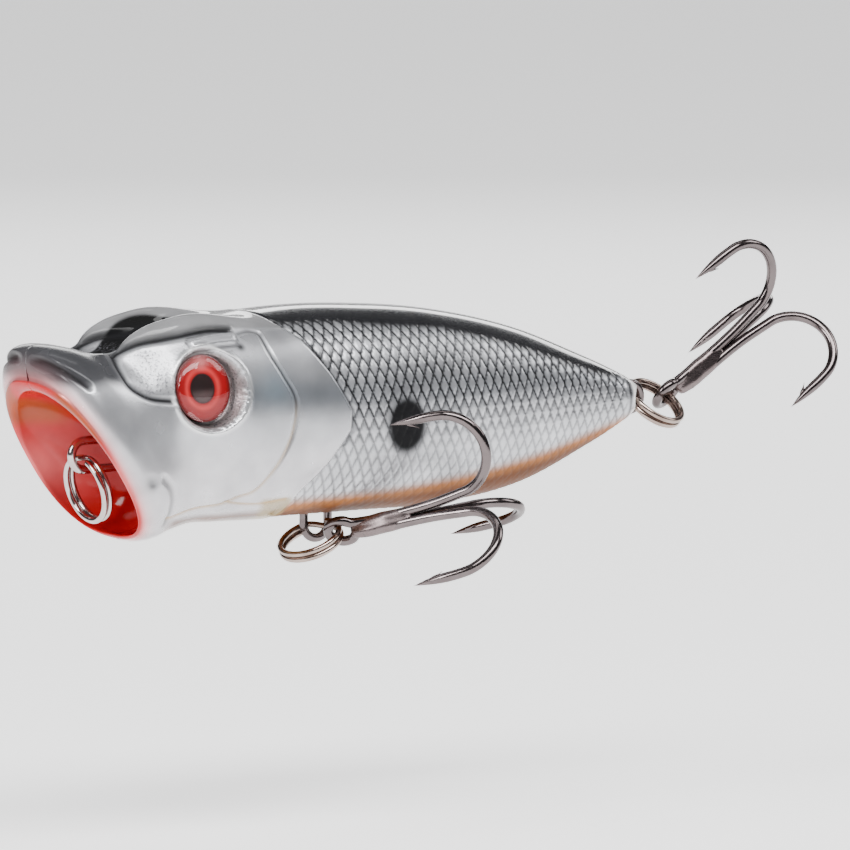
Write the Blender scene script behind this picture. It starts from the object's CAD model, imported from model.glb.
# A hollow topwater popper: painted skin with scales, foil eyes, wire eyes, split rings and treble hooks.
# Shapes are worked out in millimetres in the lure's own frame and written to the meshes in metres.

import math

import bmesh
import bpy
import numpy as np
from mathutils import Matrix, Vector


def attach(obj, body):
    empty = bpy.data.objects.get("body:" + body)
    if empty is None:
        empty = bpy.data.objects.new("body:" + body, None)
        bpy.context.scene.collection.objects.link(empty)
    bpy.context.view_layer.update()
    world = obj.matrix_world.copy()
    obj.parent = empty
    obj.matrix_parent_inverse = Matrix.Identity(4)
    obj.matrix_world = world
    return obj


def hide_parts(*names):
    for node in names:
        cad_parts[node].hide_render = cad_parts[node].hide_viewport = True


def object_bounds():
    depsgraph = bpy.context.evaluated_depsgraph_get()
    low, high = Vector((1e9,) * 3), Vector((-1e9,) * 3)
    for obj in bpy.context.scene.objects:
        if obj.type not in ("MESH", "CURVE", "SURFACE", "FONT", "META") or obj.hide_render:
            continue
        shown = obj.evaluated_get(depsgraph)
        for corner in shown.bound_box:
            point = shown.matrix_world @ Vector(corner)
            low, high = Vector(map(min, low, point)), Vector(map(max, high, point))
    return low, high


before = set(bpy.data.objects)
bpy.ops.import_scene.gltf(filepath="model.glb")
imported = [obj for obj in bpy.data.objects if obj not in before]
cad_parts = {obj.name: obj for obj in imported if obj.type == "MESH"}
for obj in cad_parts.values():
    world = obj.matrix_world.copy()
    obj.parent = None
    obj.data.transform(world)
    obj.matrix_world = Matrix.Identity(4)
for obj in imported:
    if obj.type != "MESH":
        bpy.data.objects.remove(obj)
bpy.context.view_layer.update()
millimetre = 0.001
farAway = 99.0  # mm, past the reach of every mask
print("frame loaded")


def smooth(low, high, value):
    # 0 below low, 1 above high, an S curve between
    t = np.clip((value - low) / (high - low), 0, 1)
    return t * t * (3 - 2 * t)


def bell(value, width):
    # 1 at nought, falling away evenly on both sides: e to the minus square
    return np.exp(-((value / width) ** 2))


def unit(vector):
    # the same direction, one long
    vector = np.asarray(vector, float)
    return vector / np.linalg.norm(vector, axis=-1, keepdims=True)


def smoothPath(points, count):
    # centripetal Catmull-Rom through the points: the root of each gap sets the tangents;
    # then resampled to equal steps of length
    p = np.asarray(points, float)
    p = np.vstack([2 * p[0] - p[1], p, 2 * p[-1] - p[-2]])
    gap = np.sqrt(np.linalg.norm(np.diff(p, axis=0), axis=1))[:, None]
    a, b, c, d = p[:-3], p[1:-2], p[2:-1], p[3:]
    g0, g1, g2 = gap[:-2], gap[1:-1], gap[2:]
    m1 = g1 * ((b - a) / g0 - (c - a) / (g0 + g1) + (c - b) / g1)
    m2 = g1 * ((c - b) / g1 - (d - b) / (g1 + g2) + (d - c) / g2)
    t = np.linspace(0, 1, 24, endpoint=False)[None, :, None]
    fine = ((2 * t**3 - 3 * t**2 + 1) * b[:, None] + (t**3 - 2 * t**2 + t) * m1[:, None]
            + (3 * t**2 - 2 * t**3) * c[:, None] + (t**3 - t**2) * m2[:, None])
    fine = np.vstack([fine.reshape(-1, 3), p[-2]])
    return evenSteps(fine, count)


def evenSteps(points, count):
    # the same line with its points respaced to equal steps of length
    run = np.concatenate([[0], np.cumsum(np.linalg.norm(np.diff(points, axis=0), axis=1))])
    wanted = np.linspace(0, run[-1], count)
    return np.stack([np.interp(wanted, run, points[:, k]) for k in range(3)], axis=1)


def lineDistance(x, z, points):
    # distance in the side view from each surface point to a drawn line
    line = smoothPath([(a, 0, b) for a, b in points], 6 * len(points))[:, [0, 2]]
    best = np.full(x.shape, farAway)
    for start, end in zip(line[:-1], line[1:]):
        run = end - start
        t = np.clip(((x - start[0]) * run[0] + (z - start[1]) * run[1]) / (run @ run), 0, 1)
        best = np.minimum(best, np.hypot(x - start[0] - t * run[0], z - start[1] - t * run[1]))
    return best


def writeMesh(name, points, faces, flatFrom=None):
    # points in millimetres; the faces from flatFrom on are shaded flat
    mesh = bpy.data.meshes.new(name)
    mesh.from_pydata((np.asarray(points) * millimetre).tolist(), [], faces)
    work = bmesh.new()
    work.from_mesh(mesh)
    bmesh.ops.recalc_face_normals(work, faces=work.faces)
    work.to_mesh(mesh)
    work.free()
    smoothCount = len(faces) if flatFrom is None else flatFrom
    mesh.polygons.foreach_set("use_smooth", np.arange(len(faces)) < smoothCount)
    piece = bpy.data.objects.new(name, mesh)
    bpy.context.scene.collection.objects.link(piece)
    return piece


def gridFaces(rows, columns, closed):
    # quads between neighbouring rows; a closed grid joins its last column to its first
    i, j = np.meshgrid(np.arange(rows - 1), np.arange(columns if closed else columns - 1), indexing="ij")
    k = (j + 1) % columns
    corners = [i * columns + j, (i + 1) * columns + j, (i + 1) * columns + k, i * columns + k]
    return np.stack(corners, axis=-1).reshape(-1, 4).tolist()


def cappedFaces(rows, sides):
    # a closed grid with a fan to a pole at each end; the poles are the two points after the grid
    faces = gridFaces(rows, sides, True)
    last = (rows - 1) * sides
    faces += [[rows * sides, (j + 1) % sides, j] for j in range(sides)]
    faces += [[rows * sides + 1, last + j, last + (j + 1) % sides] for j in range(sides)]
    return faces


def tubePoints(path, radii, sides):
    # a profile carried along the path: its frame is turned as little as possible from row to row
    tangent = unit(np.gradient(path, axis=0))
    across = np.zeros_like(path)
    start = np.cross(tangent[0], [0.31, 0.82, 0.47])  # a direction that no path starts in
    across[0] = start / np.linalg.norm(start)
    for row in range(1, len(path)):
        moved = across[row - 1] - tangent[row] * (across[row - 1] @ tangent[row])
        across[row] = moved / np.linalg.norm(moved)
    other = np.cross(tangent, across)
    angle = np.linspace(0, 2 * np.pi, sides, endpoint=False)
    ring = np.cos(angle)[None, :, None] * across[:, None] + np.sin(angle)[None, :, None] * other[:, None]
    return path[:, None] + np.asarray(radii)[:, None, None] * ring


tubeEnd = {"pole": 0.25, "row": 0.12, "narrow": 0.8}  # shares of the tube's radius


def tubeMesh(name, path, radii, sides):
    # rounded at both ends: past each end of the path stand one narrower row and a pole
    tangent = unit(np.gradient(path, axis=0))
    ahead, behind = tangent[0] * radii[0], tangent[-1] * radii[-1]
    longer = np.vstack([path[0] - ahead * tubeEnd["row"], path, path[-1] + behind * tubeEnd["row"]])
    sizes = np.concatenate([[radii[0] * tubeEnd["narrow"]], radii, [radii[-1] * tubeEnd["narrow"]]])
    ringPoints = tubePoints(longer, sizes, sides).reshape(-1, 3)
    points = np.vstack([ringPoints, path[0] - ahead * tubeEnd["pole"], path[-1] + behind * tubeEnd["pole"]])
    return writeMesh(name, points, cappedFaces(len(longer), sides))


def colourAttribute(piece, name, values):
    # three or four numbers for each point, kept under the name that its material reads
    layer = piece.data.attributes.new(name, "FLOAT_COLOR", "POINT")
    full = np.ones((len(piece.data.vertices), 4), np.float32)
    full[:, :values.shape[1]] = values
    layer.data.foreach_set("color", full.ravel())


def settle(piece, body, nodes, material):
    # the piece's material, the body it rides on, the nodes it stands for and its finish slot
    piece.data.materials.append(material)
    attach(piece, body)
    if nodes:
        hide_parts(*nodes)


class Value:
    # a socket that can be added, multiplied and so on: each operator adds its Math node
    def __init__(self, tree, socket=None):
        self.tree = tree
        self.socket = socket

    def node(self, kind, settings=None, inputs=None, output=0):
        # any other node: its settings are set first, then the numbers or links of its sockets
        made = self.tree.nodes.new(kind)
        for key, value in (settings or {}).items():
            setattr(made, key, value)
        for key, value in (inputs or {}).items():
            if isinstance(value, Value):
                self.tree.links.new(value.socket, made.inputs[key])
            else:
                made.inputs[key].default_value = value
        return Value(self.tree, made.outputs[output] if len(made.outputs) else None)

    def maths(self, operation, first, second):
        return self.node("ShaderNodeMath", {"operation": operation}, {0: first, 1: second})

    def __add__(self, other):
        return self.maths("ADD", self, other)

    __radd__ = __add__

    def __sub__(self, other):
        return self.maths("SUBTRACT", self, other)

    def __rsub__(self, other):
        return self.maths("SUBTRACT", other, self)

    def __mul__(self, other):
        return self.maths("MULTIPLY", self, other)

    __rmul__ = __mul__

    def __pow__(self, other):
        return self.maths("POWER", self, other)

    def clamp(self):
        return self.node("ShaderNodeClamp", None, {0: self})

    def mix(self, factor, first, second, blend="MIX"):
        return self.node("ShaderNodeMix", {"data_type": "RGBA", "blend_type": blend},
                         {0: factor, 6: first, 7: second}, 2)

    def noise(self, scale, detail=2.0, stretch=None):
        place = self.node("ShaderNodeTexCoord", None, None, "Object")
        if stretch:
            place = self.node("ShaderNodeMapping", None, {"Vector": place, "Scale": stretch})
        return self.node("ShaderNodeTexNoise", None, {"Vector": place, "Scale": scale, "Detail": detail})

    def bump(self, height, strength, distance):
        return self.node("ShaderNodeBump", None,
                         {"Height": height, "Strength": strength, "Distance": distance})

    def attribute(self, name, output="Color"):
        return self.node("ShaderNodeAttribute", {"attribute_name": name}, None, output)

    def parts(self, colour):
        made = self.node("ShaderNodeSeparateColor", None, {"Color": colour})
        return [Value(self.tree, socket) for socket in made.socket.node.outputs]


def emptyMaterial(name):
    material = bpy.data.materials.new(name)
    material.use_nodes = True
    material.node_tree.nodes.clear()
    return material, Value(material.node_tree)


def principled(name, fixed, varying):
    # fixed numbers sit on the shader's own sockets; varying(v) gives the inputs that change over the surface
    material, v = emptyMaterial(name)
    shader = v.node("ShaderNodeBsdfPrincipled", None, {**fixed, **varying(v)})
    v.node("ShaderNodeOutputMaterial", None, {"Surface": shader})
    return material


# the hull's sections are superellipses, blended from station to station
hull = {
    # at, back, keel, beam, waist, fullness
    "stations": np.array([
        (-1.35, 7.0, -7.7, 7.7, -1.0, 0.84), (-0.9, 8.4, -7.9, 8.05, -0.9, 0.84),
        (0.3, 9.9, -7.8, 8.2, -0.7, 0.82), (2.4, 10.1, -7.2, 7.9, -0.3, 0.78),
        (6.0, 9.0, -6.65, 7.35, 0.4, 0.72), (9.2, 10.3, -6.65, 7.7, 1.0, 0.66),
        (13.6, 11.35, -6.75, 8.05, 1.15, 0.72), (20.6, 11.95, -6.85, 8.2, 1.15, 0.85),
        (27.6, 11.75, -6.95, 8.1, 1.15, 0.86), (36.6, 10.75, -7.0, 7.4, 1.15, 0.86),
        (45.6, 8.6, -5.9, 5.8, 1.15, 0.86), (54, 5.3, -3.0, 3.5, 1.15, 0.88),
        (58.4, 3.3, -1.0, 2.4, 1.15, 0.92), (59.7, 2.5, -0.1, 1.7, 1.2, 0.95),
    ]),
    "slant": 0.62,  # how far the mouth leans forward for each millimetre of height
    "slantEnds": 20,
    "brow": {"start": 3.4, "climb": 3, "crest": 10.8, "end": 17.5,
             "height": 1.75, "spread": 3.5, "width": 1.35},
    "cup": {"top": 6.0, "bottom": -7.2, "beam": 7.25, "waist": -1.2, "upper": 1.0, "lower": 0.75,
            "depth": 7.8, "innermost": 0.985},
    "sectionPoints": 721,
    "cupRows": 62,
    "lipRows": 10,
    "sideRows": 388,
    "capRows": 10,
    "capSizes": (0.95, 0.05),
    "notch": {"x": 59.9, "z": 1.05, "radius": 1.12, "from": 57},  # room for the tail's split ring
    "columns": 200,
    "lipRound": 0.35,
    "seam": 0.002,  # each half's distance from the middle plane
}


def alongHull(column, at):
    # a cubic through the stations, each slope the one between the neighbours
    x, y = hull["stations"][:, 0], hull["stations"][:, column]
    index = np.arange(len(x))
    before, after = np.maximum(index - 1, 0), np.minimum(index + 1, len(x) - 1)
    slope = (y[after] - y[before]) / (x[after] - x[before])
    i = np.clip(np.searchsorted(x, at) - 1, 0, len(x) - 2)
    span = x[i + 1] - x[i]
    t = (at - x[i]) / span
    return ((2 * t**3 - 3 * t**2 + 1) * y[i] + (t**3 - 2 * t**2 + t) * span * slope[i]
            + (3 * t**2 - 2 * t**3) * y[i + 1] + (t**3 - t**2) * span * slope[i + 1])


def slantAt(at):
    # the lean of a section, fading to upright behind the head
    return -hull["slant"] * (1 - smooth(0, hull["slantEnds"], at))


def browRise(at, y):
    # two ridges beside the middle: a rise and fall along the head times a bell across it
    b = hull["brow"]
    length = smooth(b["start"], b["crest"] - b["climb"], at) * (1 - smooth(b["crest"], b["end"], at))
    return b["height"] * length * bell(np.abs(y) - b["spread"], b["width"])


def powered(value, power):
    # a power that keeps the sign
    return np.sign(value) * np.abs(value) ** power


def hullPoints(at, angle):
    # a closed superellipse at each station; the sections at the mouth lean forward with height
    at = at[:, None]
    fullness = alongHull(5, at)
    waist, back, keel = alongHull(4, at), alongHull(1, at), alongHull(2, at)
    upward = powered(np.cos(angle), fullness)
    y = alongHull(3, at) * np.abs(np.sin(angle)) ** fullness
    ridge = np.where(upward > 0, upward * browRise(at, y), 0)
    z = waist + np.where(upward > 0, back - waist, waist - keel) * upward + ridge
    return np.stack([at + slantAt(at) * z, y, z], axis=-1)


def cupPoints(at, size, angle):
    # the mouth's bowl: its outline shrinks with depth as a quarter circle
    c = hull["cup"]
    at, size = at[:, None], size[:, None]
    upper = np.cos(angle) > 0
    fullness = np.where(upper, c["upper"], c["lower"])
    reach = np.where(upper, c["top"] - c["waist"], c["waist"] - c["bottom"])
    z = c["waist"] + reach * size * powered(np.cos(angle), fullness)
    y = c["beam"] * size * np.abs(np.sin(angle)) ** fullness
    return np.stack([at + slantAt(at) * z, y, z], axis=-1)


def evenColumns(points, columns):
    # each row's points respaced to equal steps round the section
    return np.stack([evenSteps(row, columns) for row in points])


def skinGrid():
    # one half: rows run from the cup's middle, over the lip, to the tail; columns from back to keel
    angle = np.linspace(0, np.pi, hull["sectionPoints"])[None, :]
    rim = hull["stations"][0, 0]
    turn = np.linspace(hull["cup"]["innermost"], 0, hull["cupRows"]) * np.pi / 2
    cupRows = cupPoints(rim + hull["cup"]["depth"] * np.sin(turn), np.cos(turn), angle)
    t = np.linspace(0, 1, hull["lipRows"] + 2)[1:-1][:, None, None]
    inner = cupPoints(np.array([rim]), np.array([1.0]), angle)
    outer = hullPoints(np.array([rim]), angle)
    lipRows = inner + (outer - inner) * (0.5 - 0.5 * np.cos(np.pi * t))
    lipRows[..., 0] -= hull["lipRound"] * np.sin(np.pi * t[..., 0])
    tail, waist = hull["stations"][-1, 0], hull["stations"][-1, 4]
    side = hullPoints(np.linspace(rim, tail, hull["sideRows"]), angle)
    centre = np.array([tail, 0, waist])
    caps = [centre + (side[-1:] - centre) * size for size in np.linspace(*hull["capSizes"], hull["capRows"])]
    return evenColumns(np.concatenate([cupRows, lipRows, side, *caps]), hull["columns"])


# what stands proud of the hull and what is cut into it; a line is a list of (x, z) of the side view
relief = {
    "scalePitch": (1.09, 2.28),
    "scaleDepth": 0.09,
    "scaleLift": 0.12,
    "scaleMiddle": 1.15,  # the height from which the rows of scales are counted
    "backEdge": [(-6, 10.9), (13.7, 10.75), (24.2, 10.4), (35.2, 9.2), (40.9, 7.8), (47.2, 5.85), (54, 3.65),
                 (60, 2.4)],
    "bellyEdge": [(4, -5.8), (18.6, -4.6), (29.3, -4.3), (34.8, -3.8), (40.7, -3.2), (47, -2.3), (53.9, -1.0),
                  (60, 0.2)],
    "gillEdge": [(16.6, 11.8), (17.5, 10.8), (19.1, 9.5), (21.3, 6.4), (23.1, 3.2), (22.9, 1.4),
                 (20.9, -1.1), (18.3, -3.7), (17.5, -5.4), (17.0, -7.2)],
    "gillStep": 0.16,
    "gillGroove": {"behind": 0.25, "depth": 0.17, "width": 0.16},
    "cheekLine": [(15.1, 10.3), (15.4, 8.5), (16.2, 6.7), (17.2, 4.5), (16.8, 1.9), (15.8, -0.3),
                  (14.6, -2.0), (13.1, -3.5), (11.6, -3.9), (10.1, -4.5), (7.1, -4.8), (4.4, -5.4)],
    "throatLine": [(10.5, -4.3), (13.8, -4.7), (17.0, -4.4)],
    "plateLine": [(12.9, 10.45), (14.2, 10.55), (15.2, 10.3)],
    "jawLine": [(3.4, -1.6), (4.2, -2.6), (4.5, -4.0), (4.4, -5.9)],
    "snoutLine": [(0.6, 9.3), (0.5, 8.1), (0.8, 6.8), (1.6, 6.1), (2.8, 5.5), (4.9, 5.1)],
    "browLine": [(0.7, 9.3), (1.8, 9.7), (3.2, 10.1), (5.0, 10.35), (7.1, 10.6), (10.1, 10.9), (12.4, 10.8)],
    "lipFold": [(-6.0, 9.0), (-5.6, 8.6), (-4.6, 7.8), (-3.7, 7.0)],
    "lidBar": [(8.0, 9.75), (10.0, 10.0), (12.0, 10.05)],
    # depth and width of each drawn groove
    "grooves": {"cheekLine": (0.15, 0.15), "throatLine": (0.09, 0.13), "plateLine": (0.12, 0.13),
                "jawLine": (0.14, 0.3), "snoutLine": (0.26, 0.26), "browLine": (0.34, 0.24)},
    "fold": {"depth": 0.35, "width": 0.3},
    "lid": {"height": 0.42, "inner": 0.28, "outer": 0.62},
    "dimple": {"x": 1.9, "z": -1.8, "depth": 0.10, "width": 0.6},
    "socket": {"x": 8.75, "y": 6.55, "z": 5.75, "radius": 3.62, "floor": 0.56, "snap": 0.12, "wall": 0.03,
               "bank": (2.9, 3.5), "step": 0.22, "rim": 3.82, "rimHeight": 0.13, "rimWidth": 0.13},
    "lean": (0.06, 0.16),  # how far an eye's axis turns back and up
}


def eyeAxis(side):
    # the direction that the eye on this side looks in
    return unit([relief["lean"][0], side, relief["lean"][1]])


def gillX(z):
    # the gill cover's rear edge at each height
    line = np.array(relief["gillEdge"])[::-1]
    return np.interp(z, line[:, 1], line[:, 0])


def backZ(x):
    # the height where the dark back begins
    return np.interp(x, *np.transpose(relief["backEdge"]))


def bellyZ(x):
    # the height where the amber belly begins
    return np.interp(x, *np.transpose(relief["bellyEdge"]))


def scaleLattice(x, run):
    # two families of slanting lines make diamonds; returns the groove and each scale's lift to its rear
    along, around = relief["scalePitch"]
    a, b = x / along + run / around, x / along - run / around
    fa, fb = a - np.floor(a), b - np.floor(b)
    edge = np.maximum(np.abs(fa - 0.5), np.abs(fb - 0.5)) * 2
    groove = smooth(0.62, 0.92, edge)
    return groove, 0.5 * (fa + fb)


def surveySkin(points):
    # the masks that both the relief and the paint use
    x, y, z = points[..., 0], points[..., 1], points[..., 2]
    run = np.cumsum(np.linalg.norm(np.diff(points, axis=1, prepend=points[:, :1]), axis=-1), axis=1)
    middle = np.argmin(np.abs(z - relief["scaleMiddle"]), axis=1)
    run = run - run[np.arange(len(run)), middle][:, None]
    groove, lift = scaleLattice(x, run)
    behindGill = smooth(0.0, 0.35, x - gillX(z))
    overBack = z - backZ(x)
    back = smooth(-0.3, 0.5, overBack)
    belly = smooth(-0.3, 1.6, bellyZ(x) - z)  # the scales fade on the belly, the tail and the back
    scaled = behindGill * (1 - 0.75 * belly) * (1 - smooth(57, 58.2, x)) * (1 - smooth(0.1, 0.8, overBack))
    rows = np.arange(points.shape[0])[:, None] * np.ones_like(x)
    rimRow = hull["cupRows"] + hull["lipRows"]
    outside = rows >= rimRow
    drawn = {name: np.where(outside, lineDistance(x, z, relief[name]), farAway)
             for name in (*relief["grooves"], "lipFold", "lidBar")}
    dimpleAway = np.hypot(x - relief["dimple"]["x"], z - relief["dimple"]["z"])
    s = relief["socket"]
    axis = eyeAxis(1)
    offset = points - np.array([s["x"], s["y"], s["z"]])
    height = offset @ axis
    away = np.where(outside & (y > 2), np.linalg.norm(offset - height[..., None] * axis, axis=-1), farAway)
    return {"x": x, "y": y, "z": z, "groove": groove, "lift": lift, "behindGill": behindGill,
            "back": back, "scaled": scaled * outside, "outside": outside, "rows": rows, "rimRow": rimRow,
            "dimpleAway": np.where(outside, dimpleAway, farAway), "socketAway": away, "socketHeight": height,
            "axis": axis, **drawn}


def carveSkin(points, m):
    # moves each point along its normal by the sum of the grooves, steps, bars and scales
    du, dv = np.gradient(points, axis=0), np.gradient(points, axis=1)
    normal = np.cross(du, dv)
    normal[:, [0, -1], 1] = 0
    normal = unit(normal + 1e-12)  # never nought long
    x, z = m["x"], m["z"]
    rise = -relief["scaleDepth"] * m["groove"] * m["scaled"]
    rise += relief["scaleLift"] * (m["lift"] - 0.5) * m["scaled"] * (1 - m["groove"])
    rise += relief["gillStep"] * (1 - m["behindGill"]) * smooth(12, 20, x) * m["outside"]
    gill, fold, lid, dimple, s = [relief[name] for name in ("gillGroove", "fold", "lid", "dimple", "socket")]
    gillBand = bell(x - gillX(z) - gill["behind"], gill["width"])
    rise -= gill["depth"] * gillBand * smooth(12, 16, x) * m["outside"]
    for name, (depth, width) in relief["grooves"].items():
        rise -= depth * bell(m[name], width)
    rise -= fold["depth"] * bell(m["lipFold"], fold["width"]) * smooth(0.3, 2.0, m["y"])
    rise += lid["height"] * (1 - smooth(lid["inner"], lid["outer"], m["lidBar"]))
    rise -= dimple["depth"] * bell(m["dimpleAway"], dimple["width"])
    rise += s["rimHeight"] * bell(m["socketAway"] - s["rim"], s["rimWidth"])
    carved = points + normal * rise[..., None]
    # the points next to the socket's edge snap to it, and those inside sink to a floor with a banked step
    radial = points - np.array([s["x"], s["y"], s["z"]]) - m["socketHeight"][..., None] * m["axis"]
    inside = m["socketAway"] < s["radius"]
    wanted = np.where(inside, s["radius"] - s["wall"], s["radius"] + s["wall"])
    near = np.abs(m["socketAway"] - s["radius"]) < s["snap"]
    shift = np.where(near, wanted / m["socketAway"] - 1, 0)
    carved += radial * shift[..., None]
    bank = smooth(*s["bank"], m["socketAway"])
    floorAt = -s["floor"] * (1 - bank) + (m["socketHeight"] - s["step"]) * bank
    down = np.where(inside, np.minimum(0, floorAt - m["socketHeight"] - rise), 0)
    carved += down[..., None] * m["axis"]
    n = hull["notch"]
    hollow = n["x"] - np.sqrt(np.maximum(n["radius"] ** 2 - (carved[..., 2] - n["z"]) ** 2, 0))
    notched = np.minimum(carved[..., 0], np.maximum(hollow, n["from"]))
    carved[..., 0] = np.where(x > n["from"], notched, carved[..., 0])
    carved[:, [0, -1], 1] = hull["seam"]
    carved[..., 1] = np.maximum(carved[..., 1], hull["seam"])
    return carved


# paint colours, then the marks' places and how far each layer hides the foil under it
paint = {
    "silver": (0.55, 0.555, 0.58),
    "upperFlank": (0.30, 0.31, 0.33),
    "dimple": (0.12, 0.125, 0.13),
    "socketRim": (0.92, 0.92, 0.92),
    "socketFloor": (0.30, 0.28, 0.28),
    "lowCheek": (0.58, 0.57, 0.59),
    "band": (0.20, 0.22, 0.25),
    "blue": (0.32, 0.42, 0.50),
    "brow": (0.22, 0.22, 0.225),
    "browShade": (0.003, 0.003, 0.003),
    "lipTop": (0.015, 0.015, 0.018),
    "back": (0.018, 0.018, 0.02),
    "amber": (0.40, 0.118, 0.0),
    "keel": (0.11, 0.028, 0.0),
    "olive": (0.30, 0.22, 0.07),
    "mouth": (0.48, 0.009, 0.012),
    "mouthDeep": (0.26, 0.003, 0.003),
    "mouthShade": (0.13, 0.001, 0.001),
    "mouthBrown": (0.30, 0.05, 0.01),
    "pink": (0.86, 0.20, 0.20),
    "line": (0.006, 0.006, 0.007),
    "warmLine": (0.42, 0.26, 0.10),
    "spot": (0.006, 0.006, 0.007),
    "rimWhite": (0.80, 0.80, 0.78),
    "browEdge": [(0, 9.4), (3.2, 10.1), (7.1, 10.7), (12.5, 10.8), (18, 10.4)],
    "crack": {"start": 0.4, "length": 12.2, "width": 2.8},
    "spotAt": {"x": 29.3, "z": 1.4, "long": 2.3, "high": 2.75},
    "metal": 0.85,
    "hides": {"back": 0.8, "lipTop": 0.8, "valley": 1, "jawEdge": 0.8, "amber": 1, "brow": 0.8, "spot": 1,
              "darkLines": 0.8, "tailRim": 1, "head": 0.15},
}


def over(base, colour, mask):
    # a layer of colour laid over the base as far as the mask says
    return base + (np.array(colour) - base) * mask[..., None]


def paintMasks(m):
    # how far each layer covers each point, from 0 to 1
    x, y, z = m["x"], m["y"], m["z"]
    head = 1 - m["behindGill"]
    brow = smooth(-0.1, 0.25, z - np.interp(x, *np.transpose(paint["browEdge"]))) * head * smooth(0.5, 1.6, x)
    crack = np.sin(np.pi * np.clip((x - paint["crack"]["start"]) / paint["crack"]["length"], 0, 1)) ** 0.7
    crack = paint["crack"]["width"] * crack
    valley = (1 - smooth(crack - 0.25, crack + 0.05, y)) * (crack > 0.3) * smooth(6, 8, z)
    mark = paint["spotAt"]
    spot = 1 - smooth(0.72, 1.15, np.hypot((x - mark["x"]) / mark["long"], (z - mark["z"]) / mark["high"]))
    gillLine = bell(x - gillX(z) - relief["gillGroove"]["behind"], 0.2) * smooth(12, 16, x) * m["outside"]
    darkLines = np.maximum.reduce([
        bell(m["snoutLine"], 0.36),
        bell(m["browLine"], 0.36),
        0.9 * bell(m["lipFold"], 0.3) * smooth(0.3, 2, y),
        0.8 * bell(m["plateLine"], 0.15),
        0.45 * bell(m["jawLine"], 0.24),
        bell(np.hypot((x - 12.6) / 1.3, z - 9.35), 0.42) * m["outside"],  # the shade behind the lid
        0.85 * bell(m["lidBar"] - relief["lid"]["outer"], 0.14),
        0.95 * gillLine * smooth(-3, 6, z),
        0.95 * bell(m["cheekLine"], 0.2) * smooth(1.0, 4.5, z),
    ])
    return {"head": head, "brow": brow, "valley": valley, "spot": spot, "darkLines": darkLines,
            "back": m["back"], "tailRim": smooth(58.3, 58.7, x),
            "lipTop": smooth(6.2, 7.6, z) * (1 - smooth(-0.4, 1.6, x)) * m["outside"],
            "amber": smooth(-0.4, 0.9, bellyZ(x) - z) * smooth(16.5, 18.5, x),
            "jawEdge": smooth(-5.2, -5.9, z) * smooth(4.2, 6.0, x) * head,
            "cupShare": smooth(m["rimRow"] - 3.0, m["rimRow"] + 2.0, m["rows"])}


def outerColour(m, p):
    # silver, then the cheek, flank, back, brow, lip, belly, spot, tail, lines and socket over it
    x, z = m["x"], m["z"]
    belly = bellyZ(x) - z
    colour = np.ones(x.shape + (3,)) * np.array(paint["silver"])
    colour = over(colour, paint["lowCheek"], smooth(2.5, -1.5, z) * p["head"] * smooth(-2, 2, x))
    band = bell(z - 5.4 + 0.03 * x, 1.5) * smooth(9.5, 13, x) * (1 - 0.55 * m["behindGill"])
    colour = over(colour, paint["band"], 0.75 * band)
    colour = over(colour, paint["blue"], 0.55 * bell(np.hypot(x - 15.2, z - 5.9), 1.6))
    colour = over(colour, paint["upperFlank"], 0.2 * smooth(1.0, 8.5, z) * m["behindGill"])
    colour = over(colour, paint["back"], m["back"] * smooth(12.5, 15.5, x))
    colour = over(colour, paint["brow"], p["brow"])
    colour = over(colour, paint["browShade"], p["valley"])
    colour = over(colour, paint["lipTop"], 0.93 * p["lipTop"])
    colour = over(colour, paint["amber"], 0.92 * p["amber"])
    colour = over(colour, paint["keel"], smooth(0.5, 1.7, belly) * smooth(16.5, 18.5, x))
    faint = smooth(-0.3, 1.4, belly) * smooth(4, 10, x) * (1 - smooth(15, 18, x))
    colour = over(colour, paint["amber"], 0.22 * faint)
    colour = over(colour, paint["keel"], 0.8 * p["jawEdge"])
    olive = smooth(14.0, 15.2, x + 0.45 * (z + 5)) * (1 - smooth(17.2, 17.8, x + 0.3 * (z + 4)))
    colour = over(colour, paint["olive"], 0.7 * olive * smooth(-4.0, -4.6, z))
    colour = over(colour, paint["spot"], p["spot"])
    colour = over(colour, paint["line"], 0.8 * bell(x - 58.1, 0.22) * m["outside"])
    colour = over(colour, paint["rimWhite"], p["tailRim"])
    colour = over(colour, paint["line"], p["darkLines"])
    warm = 0.7 * np.maximum(bell(m["cheekLine"], 0.12), bell(m["throatLine"], 0.12)) * (1 - smooth(1, 5, z))
    colour = over(colour, paint["warmLine"], warm)
    colour = over(colour, paint["dimple"], 0.7 * bell(m["dimpleAway"], 0.7))
    grooveShade = m["groove"] * m["scaled"] * (0.45 + 0.6 * smooth(-2, 5, z))
    colour = over(colour, paint["line"], np.clip(grooveShade, 0, 0.95))
    colour = over(colour, paint["socketRim"], 0.8 * bell(m["socketAway"] - 3.85, 0.13))
    return over(colour, paint["socketFloor"], 1 - smooth(3.45, 3.65, m["socketAway"]))


def mouthColour(m):
    # deep red at the bottom of the bowl, brighter and pinker towards the rim
    y, z = m["y"], m["z"]
    depth = np.clip(m["rows"] / hull["cupRows"], 0, 1)
    red = np.ones(y.shape + (3,)) * np.array(paint["mouthDeep"])
    red = over(red, paint["mouth"], smooth(0.25, 0.95, depth))
    red = over(red, paint["mouthShade"], 0.9 * bell(y, 1.1) * smooth(1.2, 2.2, z) * (1 - smooth(4.6, 5.4, z)))
    brown = smooth(0.5, 0.75, depth) * smooth(1.5, 3.0, z) * smooth(3.0, 4.4, y)
    red = over(red, paint["mouthBrown"], 0.9 * brown)
    rosy = smooth(0.45, 0.95, depth) * bell(z + 1.5, 2.6) * smooth(4.0, 6.0, y)
    return over(red, paint["pink"], 0.7 * rosy)


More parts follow.
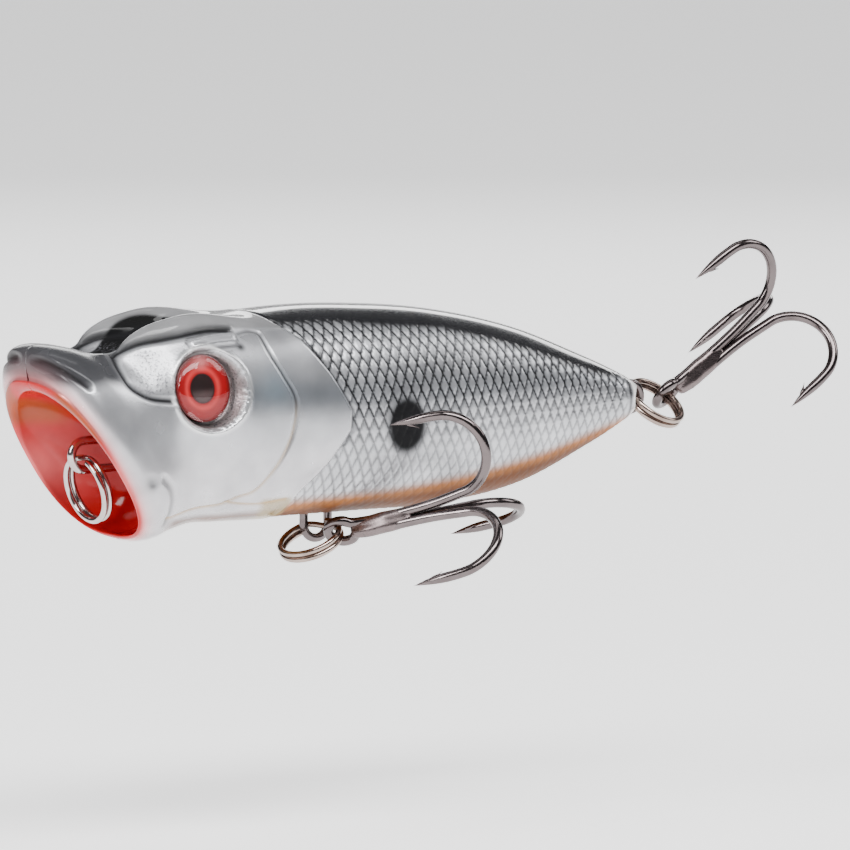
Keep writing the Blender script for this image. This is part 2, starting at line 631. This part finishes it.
def skinFinish(m, p):
    # metallic, roughness, stipple and coat weight of each point
    metallic = paint["metal"] * p["cupShare"]
    for name, share in paint["hides"].items():
        metallic = metallic * (1 - share * p[name])
    dull = np.maximum.reduce([p["valley"], 0.8 * p["darkLines"], 0.6 * p["spot"]])
    roughness = 0.26 + 0.10 * m["scaled"] + 0.16 * p["brow"] - 0.12 * (1 - p["cupShare"])
    roughness = roughness + (0.75 - roughness) * dull + 0.25 * p["amber"]
    stipple = (1 - smooth(0.0, 3.6, np.abs(m["x"] - 3.6))) * smooth(5.2, 6.4, m["z"])
    stipple = stipple * (1 - smooth(9.2, 9.9, m["z"])) * p["head"]
    stipple = np.maximum(stipple, 1 - smooth(3.4, 3.6, m["socketAway"]))
    coat = (0.12 + 0.23 * p["cupShare"]) * (1 - dull) * (1 - 0.6 * p["lipTop"])
    coat = coat * (1 - 0.9 * p["spot"]) * (1 - 0.85 * p["amber"])
    coat = np.maximum(coat, 0.8 * m["back"] * m["outside"])
    return np.stack([metallic, roughness, np.clip(stipple, 0, 1) * m["outside"], coat], axis=-1)


def paintSkin(m):
    # the mouth's red is sprayed a little way over the lip, then the outer paint takes over
    p = paintMasks(m)
    overspray = np.exp(-np.maximum(m["rows"] - m["rimRow"], 0) / 2.2) * (0.8 - 0.6 * p["lipTop"])
    sprayed = over(outerColour(m, p), paint["pink"], overspray)
    red = mouthColour(m)
    return red + (sprayed - red) * p["cupShare"][..., None], skinFinish(m, p)


def skinPaint():
    # the painted colour, clouded and flaked, with a dotted grain where the stipple is
    def varying(v):
        metallic, roughness, stipple = v.parts(v.attribute("finish"))[:3]
        grain = v.noise(4600.0, 3.0)
        cloud = v.noise(260.0, 3.0)
        flake = v.noise(9000.0, 1.0)
        clouded = v.mix(1.0, v.attribute("paint"), cloud * 1.1 + 0.42, "MULTIPLY")
        base = v.mix(0.75, v.attribute("paint"), clouded)
        speck = ((grain - 0.52) * 9.0).clamp() * stipple
        base = v.mix(speck * 0.75, base, (0.10, 0.10, 0.11, 1))
        height = grain * (stipple * 0.8 + 0.06) + flake * 0.05
        return {"Base Color": base, "Metallic": metallic, "Coat Weight": v.attribute("finish", "Alpha"),
                "Roughness": roughness + cloud * 0.10 - 0.05 + stipple * 0.1,
                "Normal": v.bump(height, 0.35, 0.00012)}
    return principled("skinPaint", {"Coat Roughness": 0.04, "Specular IOR Level": 0.12}, varying)


def halfFaces(rows, columns, rim):
    # the skin, a fan at each pole, and the flat wall in the middle plane that closes the half
    faces = gridFaces(rows, columns, False)
    cupPole, tailPole = rows * columns, rows * columns + 1
    last = (rows - 1) * columns
    faces += [[cupPole, j, j + 1] for j in range(columns - 1)]
    faces += [[tailPole, last + j + 1, last + j] for j in range(columns - 1)]
    skinCount = len(faces)
    for edge in (0, columns - 1):
        line = np.arange(rows) * columns + edge
        faces += [[int(line[i]), int(line[i + 1]), int(line[2 * rim - i - 1]), int(line[2 * rim - i])]
                  for i in range(rim - 1)]
        faces.append([int(line[rim - 1]), int(line[rim]), int(line[rim + 1])])
    top, low = np.arange(rows) * columns, np.arange(rows) * columns + columns - 1
    faces.append([cupPole, int(top[0]), int(top[2 * rim]), int(low[2 * rim]), int(low[0])])
    faces += [[int(top[i]), int(top[i + 1]), int(low[i + 1]), int(low[i])] for i in range(2 * rim, rows - 1)]
    faces.append([tailPole, int(top[-1]), int(low[-1])])
    return faces, skinCount


def makeSkin():
    # one half is worked out and written twice, with its y turned over for the left
    points = skinGrid()
    m = surveySkin(points)
    carved = carveSkin(points, m)
    colour, finish = paintSkin(m)
    rows, columns = points.shape[:2]
    cupPole = np.array([carved[0, :, 0].mean(), hull["seam"], carved[0, [0, -1], 2].mean()])
    tailPole = np.array([carved[-1, :, 0].mean(), hull["seam"], carved[-1, [0, -1], 2].mean()])
    faces, skinCount = halfFaces(rows, columns, hull["cupRows"] + hull["lipRows"])
    flat = np.vstack([carved.reshape(-1, 3), cupPole, tailPole])
    colours = np.vstack([colour.reshape(-1, 3), colour[0, 0], colour[-1, 0]])
    finishes = np.vstack([finish.reshape(-1, 4), finish[0, 0], finish[-1, 0]])
    material = skinPaint()
    for name, side, node in (("leftSkin", -1, "left_shell"), ("rightSkin", 1, "right_shell")):
        piece = writeMesh(name, flat * [1, side, 1], faces, skinCount)
        colourAttribute(piece, "paint", colours)
        colourAttribute(piece, "finish", finishes)
        settle(piece, "hull", [node], material)


makeSkin()
print("painted skin made")


eye = {
    "x": 8.3, "y": 6.55, "z": 6.0, "radius": 3.0, "thick": 0.5, "dome": 1.25, "hollow": 0.10, "rise": 0.12,
    "pupil": 1.36, "sides": 96,
    "iris": (0.40, 0.0, 0.005),
    "glow": (0.95, 0.10, 0.10),
    "irisShade": (0.16, 0.001, 0.002),
    "edge": (0.05, 0.0, 0.0),
    "glint": (0.95, 0.45, 0.45),
    "black": (0.008, 0.006, 0.006),
    "sheen": (0.09, 0.085, 0.085),
}


def eyeFrame(side):
    # the eye's middle and its three directions: across, up and outwards
    axis = eyeAxis(side)
    across = unit(np.cross([0, 0, 1], axis))
    up = np.cross(axis, across)
    return np.array([eye["x"], side * eye["y"], eye["z"]]), across, up, axis


def turned(name, side, profile):
    # a profile of (radius, height) turned round the eye's axis, with a pole at each end
    centre, across, up, axis = eyeFrame(side)
    profile = np.asarray(profile, float)
    angle = np.linspace(0, 2 * np.pi, eye["sides"], endpoint=False)
    inner = profile[1:-1]
    ring = np.cos(angle)[None, :, None] * across + np.sin(angle)[None, :, None] * up
    points = centre + inner[:, None, :1] * ring + inner[:, None, 1:] * axis
    poles = [centre + profile[0, 1] * axis, centre + profile[-1, 1] * axis]
    return writeMesh(name, np.vstack([points.reshape(-1, 3), *poles]), cappedFaces(len(inner), eye["sides"]))


def foilPaint():
    # the printed colours on crinkled foil
    def varying(v):
        metallic, roughness = v.parts(v.attribute("finish"))[:2]
        fine = v.noise(5200.0, 2.0)
        soft = v.noise(900.0, 2.0)
        crinkled = v.mix(1.0, v.attribute("paint"), soft * 1.2 + 0.4, "MULTIPLY")
        base = v.mix(0.4, v.attribute("paint"), crinkled)
        return {"Base Color": base, "Metallic": metallic, "Roughness": roughness + soft * 0.08,
                "Normal": v.bump(fine, 0.15, 0.00008)}
    return principled("eyeFoil", {"Coat Weight": 0.5, "Coat Roughness": 0.05}, varying)


def lensResin():
    # clear resin: a glossy skin over what lies under it
    material, v = emptyMaterial("eyeLens")
    clear = v.node("ShaderNodeBsdfTransparent", None, {"Color": (1.0, 0.93, 0.93, 1)})
    dust = v.bump(v.noise(3000.0, 2.0), 0.02, 0.0001)
    gloss = v.node("ShaderNodeBsdfPrincipled", None, {"Base Color": (0.95, 0.9, 0.9, 1), "Metallic": 1.0,
                                                      "Roughness": 0.03, "Normal": dust})
    rim = v.node("ShaderNodeLayerWeight", None, {"Blend": 0.5}, "Facing")
    both = v.node("ShaderNodeMixShader", None, {0: (rim**5 * 0.6 + 0.035).clamp(), 1: clear, 2: gloss})
    v.node("ShaderNodeOutputMaterial", None, {"Surface": both})
    return material


def printedIris(u, w):
    # rings of colour by distance from the middle, a glint above and a grey sheen low in the pupil
    away = np.hypot(u, w)
    colour = np.ones((len(away), 3)) * np.array(eye["iris"])
    colour = over(colour, eye["glow"], 0.6 * bell(away - 1.75, 0.25))
    colour = over(colour, eye["irisShade"], smooth(2.45, 2.9, away))
    colour = over(colour, eye["edge"], smooth(2.9, 2.98, away))
    colour = over(colour, eye["glint"], 0.5 * bell(np.hypot(u * 0.8, w - 2.3), 0.6))
    colour = over(colour, eye["black"], 1 - smooth(eye["pupil"] - 0.08, eye["pupil"] + 0.08, away))
    colour = over(colour, eye["sheen"], 0.7 * (1 - smooth(1.1, 1.3, away)) * smooth(0.1, -0.6, w))
    return colour, np.stack([0.35 * smooth(1.3, 1.5, away), 0.25 + 0 * away, 0 * away], axis=-1)


def makeEyes():
    # a dished foil disc under a dome that is a quarter ellipse in section
    foil, lens = foilPaint(), lensResin()
    outer, thick = eye["radius"], eye["thick"]
    r = np.linspace(outer - 0.05, 0, 46)[:-1]
    top = [(a, b) for a, b in zip(r, -eye["hollow"] + eye["rise"] * (r / outer) ** 2)]
    under = [(0, -thick), (outer * 0.5, -thick), (outer - 0.08, -thick), (outer, 0.08 - thick)]
    under.append((outer, -0.05))
    t = np.linspace(0, np.pi / 2, 14)
    dome = [(0, 0.05), (outer * 0.6, 0.05), (outer - 0.05, 0.05), (outer, 0.1)]
    dome += [(outer * math.cos(a), 0.2 + (eye["dome"] - 0.2) * math.sin(a)) for a in t[:-1]]
    dome.append((0, eye["dome"]))
    for name, side in (("left", -1), ("right", 1)):
        disc = turned(name + "EyeFoil", side, under + top + [(0, -eye["hollow"])])
        centre, across, up, _ = eyeFrame(side)
        co = np.zeros(len(disc.data.vertices) * 3)
        disc.data.vertices.foreach_get("co", co)
        offset = co.reshape(-1, 3) / millimetre - centre
        colour, finish = printedIris(offset @ across, offset @ up)
        colourAttribute(disc, "paint", colour)
        colourAttribute(disc, "finish", finish)
        settle(disc, "hull", [name + "_eye_disc"], foil)
        cap = turned(name + "EyeLens", side, dome)
        settle(cap, "hull", [name + "_eye_dome"], lens)


makeEyes()
print("eyes made")


metals = {
    # colour, tarnish, roughness, streaks
    "brightWire": ((0.56, 0.50, 0.49, 1), (0.30, 0.21, 0.20, 1), 0.11, 0.25),
    "ringSteel": ((0.40, 0.32, 0.28, 1), (0.16, 0.10, 0.08, 1), 0.14, 0.35),
    "hookSteel": ((0.155, 0.13, 0.13, 1), (0.065, 0.052, 0.052, 1), 0.16, 0.3),
    "brazeMetal": ((0.18, 0.145, 0.145, 1), (0.10, 0.075, 0.075, 1), 0.26, 0.3),
    "leadMetal": ((0.30, 0.31, 0.33, 1), (0.18, 0.18, 0.19, 1), 0.55, 0.25),
    "ballMetal": ((0.72, 0.72, 0.74, 1), (0.6, 0.6, 0.62, 1), 0.1, 0.25),
}


def wireMetal(name, colour, tarnish, roughness, streak):
    # clean metal with clouds of tarnish and fine scratches
    def varying(v):
        cloud = v.noise(420.0, 3.0)
        scratch = v.noise(1500.0, 3.0, (1.0, 1.0, 4.0))
        worn = ((cloud - 0.45) * 3.0).clamp()
        base = v.mix(worn * streak * 2.0, colour, tarnish)
        return {"Base Color": base, "Roughness": scratch * 0.16 + (roughness - 0.06),
                "Normal": v.bump(scratch * 0.6 + cloud * 0.4, 0.12, 0.00006)}
    return principled(name, {"Metallic": 1.0}, varying)


metal = {name: wireMetal(name, *values) for name, values in metals.items()}
for nodeName in ("tail_weight", "rattle_ball_1", "rattle_ball_2", "rattle_ball_3"):
    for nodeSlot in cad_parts[nodeName].material_slots:
        nodeSlot.material = metal["leadMetal" if nodeName == "tail_weight" else "ballMetal"]


wire = {
    "radius": 0.4,
    "bend": 0.6,
    # x and z of the eye's middle, its radius, x and z of the root, reach of each foot
    "line_tie_wire": (0, 0, 1.3, 11.4, 0, 1.9),
    "belly_hanger_wire": (24.8, -8.0, 1.3, 24.8, -3.9, 1.9),
    "tail_hanger_wire": (59.65, 1.05, 1.25, 54.4, 1.05, 1.2),
}


def hangerPath(eyeX, eyeZ, radius, rootX, rootZ, foot):
    # two feet, two legs and the half circle between them, all in the middle plane
    outward = unit([eyeX - rootX, 0, eyeZ - rootZ])
    sideways = np.array([outward[2], 0, -outward[0]])
    root, middle = np.array([rootX, 0, rootZ], float), np.array([eyeX, 0, eyeZ], float)
    leg, bend = np.linalg.norm(middle - root), wire["bend"]
    half = [(0, radius + foot), (0, radius + bend), (bend * 0.3, radius + bend * 0.3),
            (bend, radius), (leg * 0.5, radius), (leg - 0.5, radius)]
    turn = np.linspace(0, np.pi, 9)
    points = [root + a * outward + s * sideways for a, s in half]
    points += [middle + radius * (math.sin(t) * outward + math.cos(t) * sideways) for t in turn]
    points += [root + a * outward - s * sideways for a, s in half[::-1]]
    return smoothPath(points, 150)


for nodeName, pieceName in (("line_tie_wire", "lineTieWire"), ("belly_hanger_wire", "bellyHangerWire"),
                            ("tail_hanger_wire", "tailHangerWire")):
    path = hangerPath(*wire[nodeName])
    hangerPiece = tubeMesh(pieceName, path, np.full(len(path), wire["radius"]), 20)
    wireFinish = metal["brightWire" if nodeName == "line_tie_wire" else "hookSteel"]
    settle(hangerPiece, "hull", [nodeName], wireFinish)
print("wire eyes made")


splitRings = {
    "wire": 0.275, "gap": 0.04, "jog": 0.42,
    "nose": {"radius": 2.9, "contact": (-0.25, 0, -0.2), "hang": (0.24, 0, -0.97), "side": (0, 1, 0)},
    "belly": {"radius": 2.77, "contact": (24.8, 0, -8.1), "hang": (-0.647, -0.654, -0.392),
              "side": (0.63, -0.74, 0.235)},
    "tail": {"radius": 2.7, "contact": (60.0, 0, 1.0), "hang": (0.961, 0, -0.277),
             "side": (0.161, 0.813, 0.559)},
}
trebles = {
    "wire": 0.46, "eye": 1.3, "bundle": 0.57, "root": 4.6, "split": 8.2, "bend": 13.2, "bendRadius": 3.75,
    "bendCentre": 4.75, "tip": 9.1, "tipOut": 8.65, "point": 3.2, "needle": 0.045, "taper": 1.7,
    "single": 3.9, "grip": 0.25, "loopOpen": 0.65,
    "barb": {"along": 2.35, "inset": 0.12, "width": 0.26, "length": 1.15, "lead": 0.25,
             "sink": 0.15, "height": 0.66},
    "braze": {"start": 2.75, "length": 5.75, "radius": 0.945, "lobe": 0.125, "poles": (2.6, 8.65)},
    "belly": {"spread": 80, "shank": (0.611, -0.747, 0.262), "lean": (0.478, 0.612, 0.63)},
    "tail": {"spread": 138, "shank": (0.816, -0.084, 0.572), "lean": (-0.35, 0.715, 0.605)},
}


def ringFrame(radius, contact, hang, side):
    # the middle hangs one radius from the contact; directions: to the contact, round the ring, its axis
    inward = -unit(hang)
    axis = unit(np.cross(inward, side))
    return np.array(contact, float) - radius * inward, np.stack([inward, np.cross(axis, inward), axis])


def placed(points, origin, axes):
    # from a piece's own directions to the lure's
    return origin + np.asarray(points) @ axes


def coilPath(radius):
    # two flat turns side by side; the wire steps across where its two ends face each other
    pitch = 2 * splitRings["wire"] + splitRings["gap"]
    jog = splitRings["jog"]
    angle = np.linspace(jog, 4 * np.pi - jog, 240)
    crossing = smooth(2 * np.pi - jog, 2 * np.pi + jog, angle)
    return np.stack([radius * np.cos(angle), radius * np.sin(angle), pitch * (crossing - 0.5)], axis=1)


def hookLine(angle, start):
    # one hook in its own plane: shank, half circle, and the spear back towards the eye
    t = trebles
    turn = np.linspace(0, np.pi, 10)
    along = [start, t["split"], (t["split"] + t["bend"]) / 2, *(t["bend"] + t["bendRadius"] * np.sin(turn)),
             (t["bend"] + t["tip"]) / 2, t["tip"]]
    out = [t["bundle"], t["bundle"], t["bundle"] + 0.12, *(t["bendCentre"] - t["bendRadius"] * np.cos(turn)),
           (t["bendCentre"] + t["bendRadius"] + t["tipOut"]) / 2, t["tipOut"]]
    along, out = np.array(along), np.array(out)
    return np.stack([along, out * math.cos(angle), out * math.sin(angle)], axis=1)


def doubleLine():
    # one wire: a hook, the open circle of the treble's eye, and the second hook
    t = trebles
    side = t["bundle"] * math.cos(math.pi / 3)
    turn = np.linspace(t["loopOpen"], 2 * math.pi - t["loopOpen"], 11)
    middle = t["eye"] + t["wire"]
    loop = np.stack([middle + t["eye"] * np.cos(turn), np.full(11, side), t["eye"] * np.sin(turn)], axis=1)
    return np.vstack([hookLine(math.pi / 3, t["root"])[::-1], loop, hookLine(-math.pi / 3, t["root"])])


def hookRadii(path, startPoint, endPoint):
    # full size, narrowed to a needle at each pointed end
    run = np.concatenate([[0], np.cumsum(np.linalg.norm(np.diff(path, axis=0), axis=1))])
    size = np.full(len(path), trebles["wire"])
    for length, reach in ((startPoint, run), (endPoint, run[-1] - run)):
        if length:
            t = np.clip(reach / length, 0, 1)
            size = size * np.maximum(trebles["needle"], np.where(t < 1, 1 - (1 - t) ** trebles["taper"], 1.0))
    return size


def barbPoints(angle):
    # a small raised fang on the inner side of the spear, pointing back to the bend
    b = trebles["barb"]
    share = np.linspace(0, 1, 9)
    width = b["width"] * np.sin(np.pi * np.clip(share * 0.9 + 0.1, 0, 1)) * (1 - share * 0.9)
    along = trebles["tip"] + b["along"] - b["length"] * share[::-1] + b["lead"]
    out = trebles["tipOut"] - b["inset"] - b["sink"] - b["height"] * share**1.4
    return np.stack([along, out * math.cos(angle), out * math.sin(angle)], axis=1), np.maximum(0.03, width)


def brazePoints():
    # a three-lobed, slightly lumpy sleeve over the shanks, thinner at both ends
    b = trebles["braze"]
    t = np.linspace(0, 1, 40)[:, None]
    along = b["start"] + b["length"] * t
    angle = np.linspace(0, 2 * np.pi, 60, endpoint=False)[None, :]
    end = np.sin(np.pi * np.clip(t * 0.97 + 0.015, 0, 1)) ** 0.16
    lump = 0.015 * np.sin(7 * t + 2 * angle) + 0.012 * np.sin(17 * t - angle)
    radius = (b["radius"] - b["lobe"] * np.cos(3 * angle) + lump) * end
    return np.stack([along + 0 * angle, radius * np.cos(angle), radius * np.sin(angle)], axis=-1)


def makeRings():
    for name in ("nose", "belly", "tail"):
        origin, axes = ringFrame(**splitRings[name])
        path = placed(coilPath(splitRings[name]["radius"]), origin, axes)
        coil = tubeMesh(name + "SplitRing", path, np.full(len(path), splitRings["wire"]), 14)
        bright = name == "nose"
        settle(coil, name + "_ring", [name + "_split_ring"],
               metal["brightWire" if bright else "ringSteel"])


def trebleFrame(name):
    # the treble's eye holds the ring's wire at the spread angle; the single hook stands against across
    held, t = splitRings[name], trebles
    ringOrigin, ringAxes = ringFrame(**held)
    along = unit(t[name]["shank"])
    out = unit(np.cross(along, t[name]["lean"]))
    across = np.cross(out, along)
    spread = math.radians(t[name]["spread"])
    grip = [held["radius"] * math.cos(spread), held["radius"] * math.sin(spread), 0]
    origin = placed(grip, ringOrigin, ringAxes) - along * (t["eye"] + t["wire"] - t["grip"])
    origin = origin - across * t["bundle"] * math.cos(math.pi / 3)
    return origin, np.stack([along, across, out])


def makeTrebles():
    t = trebles
    for name in ("belly", "tail"):
        place = trebleFrame(name)
        body = name + "_treble"
        path = smoothPath(doubleLine(), 420)
        radii = hookRadii(path, t["point"], t["point"])
        double = tubeMesh(name + "TrebleDouble", placed(path, *place), radii, 18)
        settle(double, body, [name + "_treble_double"], metal["hookSteel"])
        path = smoothPath(hookLine(math.pi, t["single"]), 240)
        single = tubeMesh(name + "TrebleSingle", placed(path, *place), hookRadii(path, 0, t["point"]), 18)
        settle(single, body, [name + "_treble_single"], metal["hookSteel"])
        sleeve = brazePoints()
        points = np.vstack([sleeve.reshape(-1, 3), *[[pole, 0, 0] for pole in t["braze"]["poles"]]])
        braze = writeMesh(name + "TrebleBraze", placed(points, *place), cappedFaces(*sleeve.shape[:2]))
        settle(braze, body, [], metal["brazeMetal"])
        for index, angle in enumerate((math.pi / 3, -math.pi / 3, math.pi)):
            fang, width = barbPoints(angle)
            barb = tubeMesh(f"{name}Barb{index + 1}", placed(fang, *place), width, 10)
            settle(barb, body, [], metal["hookSteel"])


makeRings()
makeTrebles()
print("rings and trebles made")


studio = {
    "azimuth": -35.0, "elevation": 7.1, "distance": 900.0, "target": (36.8, 0.0, 0.05), "lens": 421.2,
    "floor": {"drop": 24.0, "near": -900, "far": 1800, "half": 1600, "rise": 260, "rows": 40, "columns": 9},
    # azimuth, elevation, size in metres and watts of each lamp
    "lamps": {"softTop": (-15, 55, (0.60, 0.18), 4.6), "keyLeft": (-85, 28, (0.10, 0.28), 2.0),
              "rimRight": (70, 35, (0.16, 0.26), 0.8), "backTop": (160, 75, (0.50, 0.08), 0.4),
              "behind": (145, 20, (0.60, 0.10), 1.3)},
    "lampsAim": (0.03, 0, 0), "lampsAway": 0.55,
    "sky": (0.80, 0.82, 0.86, 1), "skyStrength": 0.11,
}


def viewFrom(azimuth, elevation):
    # the direction from the lure to something that stands at these angles in degrees
    a, e = math.radians(azimuth), math.radians(elevation)
    return np.array([math.sin(a) * math.cos(e), -math.cos(a) * math.cos(e), math.sin(e)])


def putFacing(name, data, place, away):
    # an object at the place, looking back along away
    holder = bpy.data.objects.new(name, data)
    holder.location = place
    holder.rotation_mode = "QUATERNION"
    holder.rotation_quaternion = Vector(-away).to_track_quat("-Z", "Y")
    bpy.context.scene.collection.objects.link(holder)
    return holder


def makeFloor():
    # a sheet that runs level and rises far behind the lure
    f = studio["floor"]
    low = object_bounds()[0][2] / millimetre - f["drop"]
    t = np.linspace(0, 1, f["rows"])
    back = -viewFrom(studio["azimuth"], 0)
    along = f["near"] + (f["far"] - f["near"]) * t
    height = low + f["rise"] * smooth(0.7, 1.0, t)
    side = np.linspace(-f["half"], f["half"], f["columns"])
    right = np.array([back[1], -back[0], 0])
    points = (along[:, None, None] * back + side[None, :, None] * right
              + height[:, None, None] * np.array([0, 0, 1]) + np.array([studio["target"][0], 0, 0]))
    floor = writeMesh("floor", points.reshape(-1, 3), gridFaces(f["rows"], f["columns"], False))

    def varying(v):
        return {"Base Color": v.mix(v.noise(3.0, 2.0) * 0.15, (0.93, 0.93, 0.93, 1), (0.89, 0.89, 0.9, 1))}

    fixed = {"Roughness": 0.85, "Emission Color": (1, 1, 1, 1), "Emission Strength": 1.0}
    floor.data.materials.append(principled("paperFloor", fixed, varying))


def makeLamps():
    for name, (azimuth, elevation, size, watts) in studio["lamps"].items():
        lamp = bpy.data.lights.new(name, "AREA")
        lamp.shape = "RECTANGLE"
        lamp.size, lamp.size_y = size
        lamp.energy = watts
        away = viewFrom(azimuth, elevation)
        putFacing(name, lamp, np.array(studio["lampsAim"]) + studio["lampsAway"] * away, away)


def makeSky():
    world = bpy.data.worlds.new("studio")
    bpy.context.scene.world = world
    world.use_nodes = True
    shade = world.node_tree.nodes["Background"]
    shade.inputs["Color"].default_value = studio["sky"]
    shade.inputs["Strength"].default_value = studio["skyStrength"]


def makeCamera():
    camera = bpy.data.cameras.new("camera")
    camera.lens = studio["lens"]
    camera.sensor_width = 36
    camera.clip_start, camera.clip_end = 0.05, 10
    toward = viewFrom(studio["azimuth"], studio["elevation"])
    place = (np.array(studio["target"]) + studio["distance"] * toward) * millimetre
    bpy.context.scene.camera = putFacing("camera", camera, place, toward)


makeFloor()
makeSky()
makeLamps()
makeCamera()
print("studio made")
